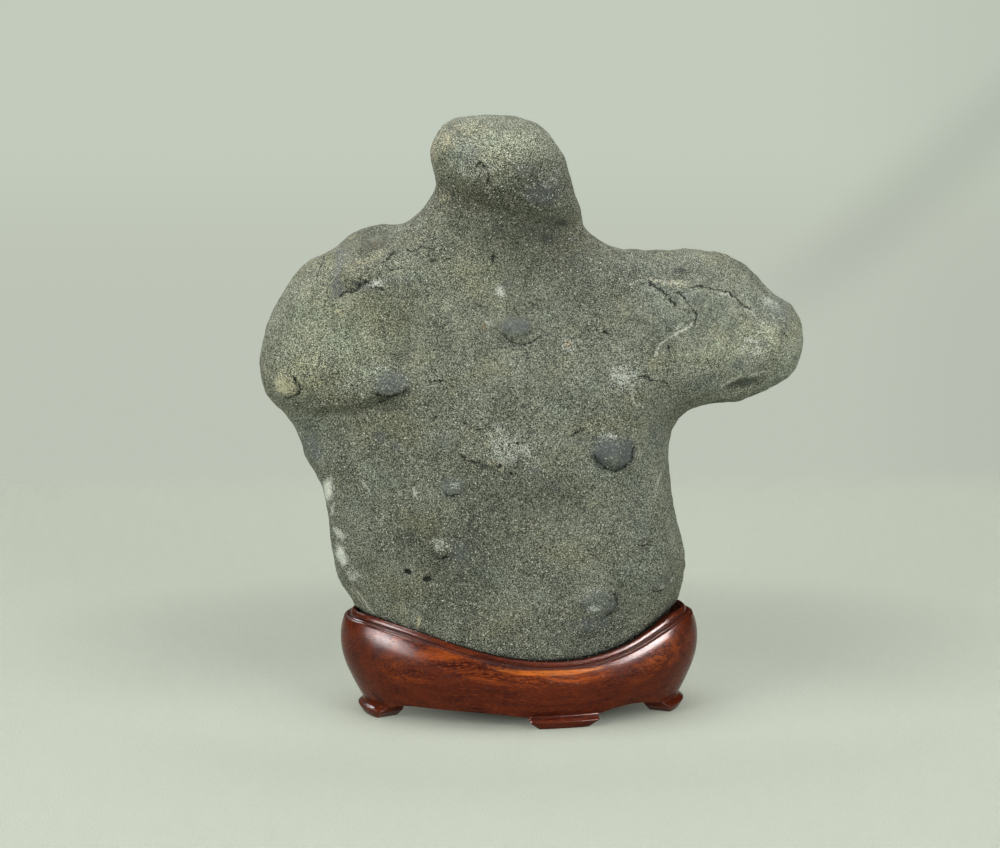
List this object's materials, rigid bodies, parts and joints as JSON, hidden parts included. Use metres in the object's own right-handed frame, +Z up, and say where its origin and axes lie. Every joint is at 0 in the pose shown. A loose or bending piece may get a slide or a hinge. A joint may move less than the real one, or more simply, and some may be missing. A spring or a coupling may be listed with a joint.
{
  "type": "scholars rock on a wooden stand",
  "caption": "Weathered grey-green stone with a head-like lobe and side lobes, seated in a carved dark wooden stand with a dipping rim and low feet.",
  "frame": {"origin": "on the surface the feet stand on, below the middle of the whole object's bounding box", "axes": "+Z up, the front faces -Y, +X to the viewer's right; the height is the longest extent and the depth the shortest"},
  "size_m": [0.3152, 0.1069, 0.3523],
  "materials": {
    "stone": "matte, granular, with small darker nodules",
    "stand": "dark red-brown hardwood, waxed to a soft gloss"
  },
  "bodies": {
    "root": {"stone": "stone", "stand": "stand"}
  },
  "joints": []
}
